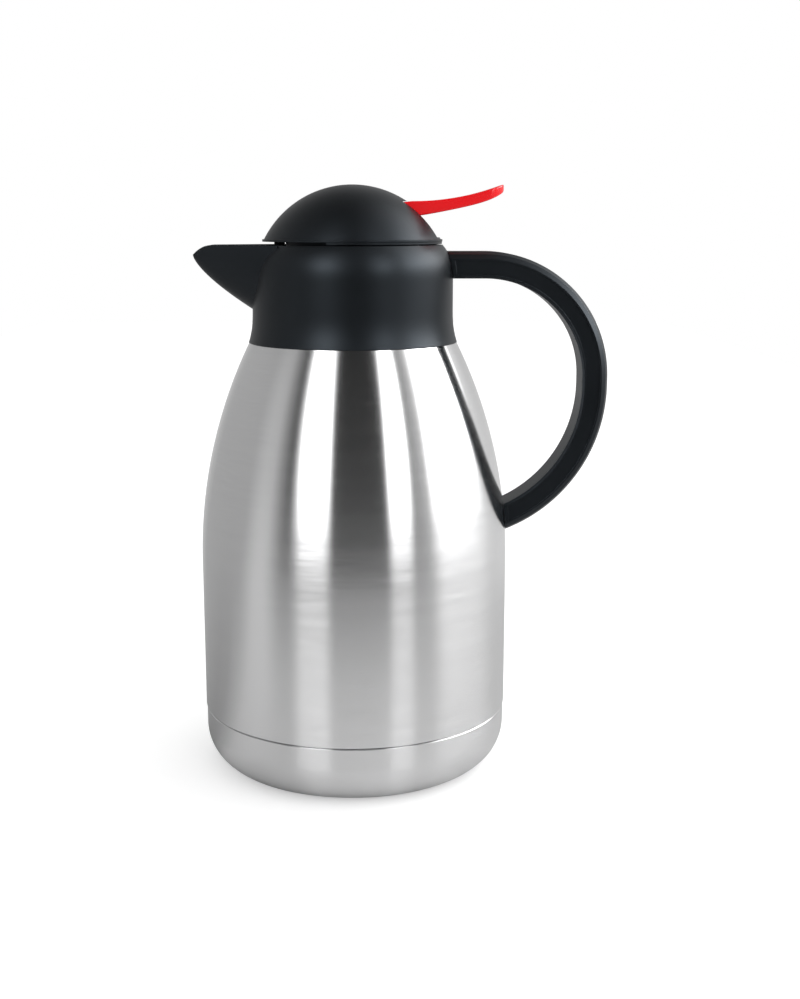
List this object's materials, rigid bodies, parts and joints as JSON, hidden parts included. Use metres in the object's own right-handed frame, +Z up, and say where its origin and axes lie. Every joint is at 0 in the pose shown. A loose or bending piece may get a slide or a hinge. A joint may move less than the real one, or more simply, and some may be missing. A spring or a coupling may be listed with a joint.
{
  "type": "insulated jug",
  "caption": "Double-walled steel serving jug with moulded collar and spout, loop handle, and screw-in domed stopper whose thumb lever opens a sprung pouring valve.",
  "frame": {"origin": "centre of the base, on the surface that the jug stands on", "axes": "+Z up along the body's axis, -X towards the spout, +X towards the handle"},
  "size_m": [0.1914, 0.1444, 0.2736],
  "materials": {
    "brushed_skin": "satin, brushed round the body",
    "liner_steel": "drawn steel, dull inside",
    "black_plastic": "satin moulded polypropylene",
    "silicone": "matt translucent silicone",
    "white_plastic": "plain moulded acetal",
    "screw_steel": "bright stainless wire and screws",
    "red_plastic": "gloss moulded"
  },
  "bodies": {
    "bottle": {"outer_shell": "brushed_skin", "inner_liner": "liner_steel", "vacuum_plate": "liner_steel", "getter": "liner_steel", "base_cap": "brushed_skin", "collar": "black_plastic", "collar_gasket": "silicone", "handle_shell": "black_plastic", "handle_insert": "black_plastic", "handle_bracket": "liner_steel", "upper_handle_screw": "screw_steel", "lower_handle_screw": "screw_steel"},
    "lid_seal": {"stopper_gasket": "silicone"},
    "lid": {"lid_dome": "black_plastic", "lid_screws": "screw_steel", "stopper_body": "black_plastic", "valve_spring": "screw_steel", "lever_pin": "screw_steel"},
    "valve": {"valve_stem": "white_plastic", "stem_cap": "white_plastic", "valve_disc": "black_plastic", "valve_seal": "silicone"},
    "lever": {"lever": "red_plastic"}
  },
  "joints": [
    {"name": "lid_lift", "type": "slide", "parent": "bottle", "child": "lid_seal", "axis": [0, 0, 1], "range_m": [0, 0.06]},
    {"name": "lid_turn", "type": "hinge", "parent": "lid_seal", "child": "lid", "pos_m": [0, 0, 0.22], "axis": [0, 0, 1], "range_deg": [0, 1080]},
    {"name": "lever_press", "type": "hinge", "parent": "lid", "child": "lever", "pos_m": [-0.022, 0, 0.2564], "axis": [0, 1, 0], "range_deg": [0, 9], "stiffness_Nm_per_rad": 2, "springref_deg": -5.73},
    {"name": "valve_stroke", "type": "slide", "parent": "lid", "child": "valve", "axis": [0, 0, -1], "range_m": [0, 0.0036], "deforming": ["valve_spring"]}
  ],
  "couplings": [
    {"joint": "lid_lift", "follows": "lid_turn", "m_per_rad": 0.003183},
    {"joint": "valve_stroke", "follows": "lever_press", "m_per_rad": 0.022}
  ]
}
